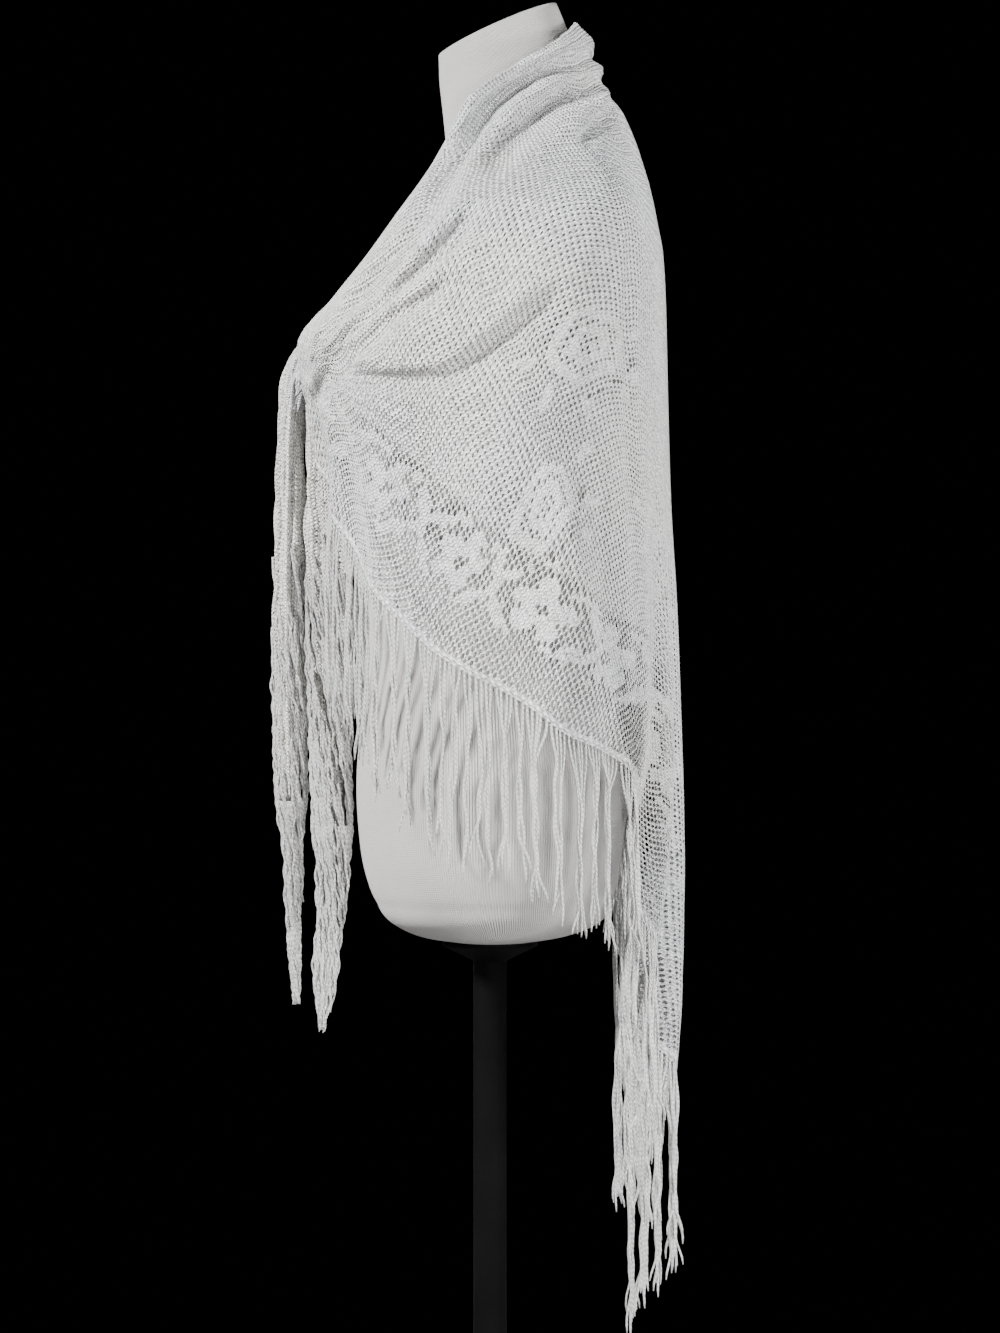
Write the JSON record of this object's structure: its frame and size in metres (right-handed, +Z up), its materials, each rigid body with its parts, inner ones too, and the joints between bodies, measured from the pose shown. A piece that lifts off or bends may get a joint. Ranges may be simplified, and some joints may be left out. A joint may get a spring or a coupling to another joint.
{
  "type": "lace shawl on dress form",
  "caption": "Triangular openwork knit shawl with a long cord fringe, folded round the neck of a limbless dress form, tied in front, its point hanging behind, on a pole and round base.",
  "frame": {"origin": "centre of the round base's underside, on the floor", "axes": "+Z up along the pole, the form faces -Y, the form's left side is +X"},
  "size_m": [0.3888, 0.33, 1.047],
  "materials": {
    "shawl_lace": "silky knitted lace",
    "fringe_cord": "silky plied cord",
    "form_jersey": "matt ribbed jersey",
    "stand_paint": "satin black"
  },
  "bodies": {
    "root": {"form_body": "form_jersey", "stand_pole": "stand_paint", "stand_base": "stand_paint", "shawl_left": "shawl_lace", "shawl_back": "shawl_lace", "shawl_right": "shawl_lace", "shawl_knot": "shawl_lace", "shawl_end_front": "shawl_lace", "shawl_end_back": "shawl_lace", "fringe_left": "fringe_cord", "fringe_right": "fringe_cord", "fringe_end_front": "fringe_cord", "fringe_end_back": "fringe_cord"}
  },
  "joints": []
}
